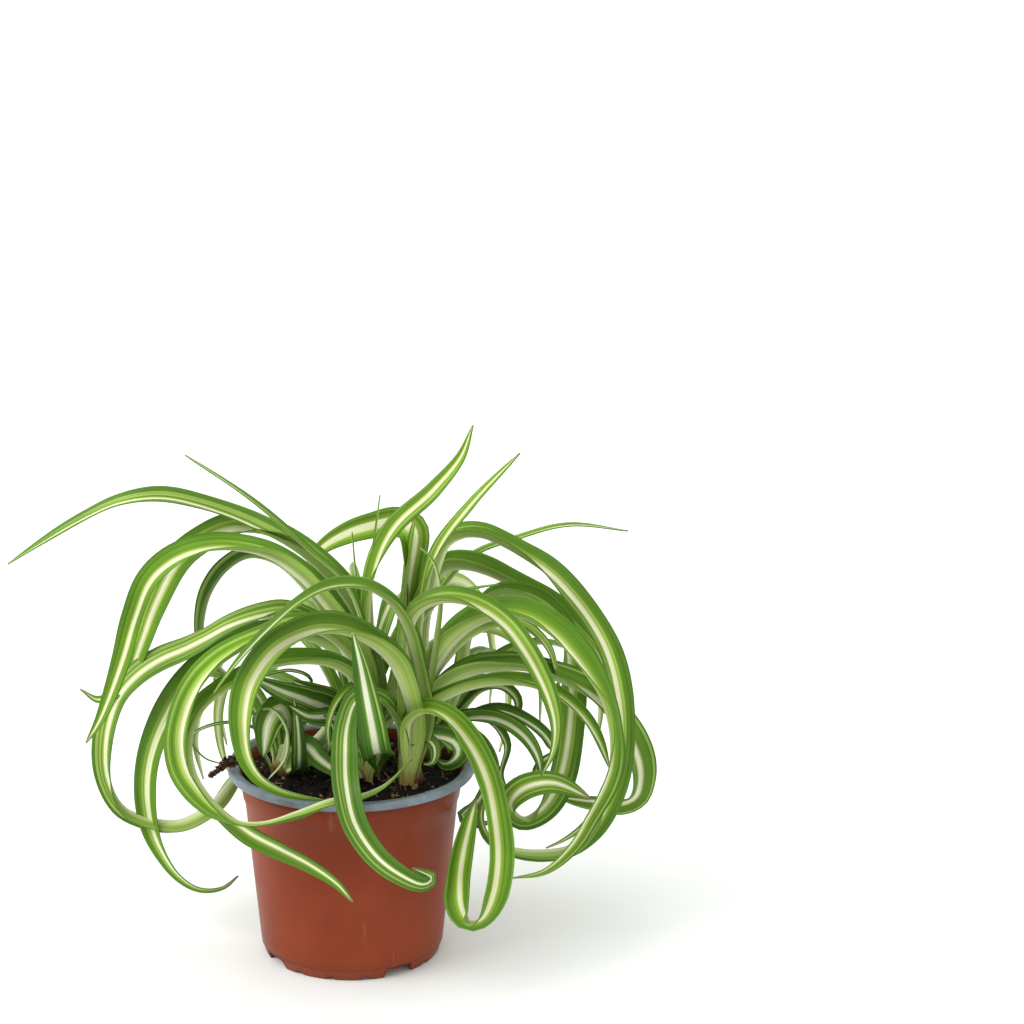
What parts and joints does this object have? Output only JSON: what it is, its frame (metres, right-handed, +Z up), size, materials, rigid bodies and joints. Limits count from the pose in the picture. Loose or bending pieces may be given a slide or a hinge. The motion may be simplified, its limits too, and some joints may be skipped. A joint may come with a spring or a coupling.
{
  "type": "potted spider plant",
  "caption": "Curly-leaved variegated spider plant in a round plastic nursery pot, with arching ribbon leaves that loop over the rim.",
  "frame": {"origin": "on the pot's axis, at the level of the surface that it stands on", "axes": "+Z up along the pot's axis, +X to the right and +Y to the back of the plant as it is usually seen"},
  "size_m": [0.3207, 0.2675, 0.2617],
  "materials": {
    "pot_plastic": "satin terracotta-coloured plastic with a blue-grey rim",
    "potting_soil": null,
    "leaf": null
  },
  "bodies": {
    "root": {"pot": "pot_plastic", "soil": "potting_soil", "crown_main": "leaf", "crown_left": "leaf", "crown_back": "leaf", "crown_right": "leaf", "crown_young": "leaf"}
  },
  "joints": []
}
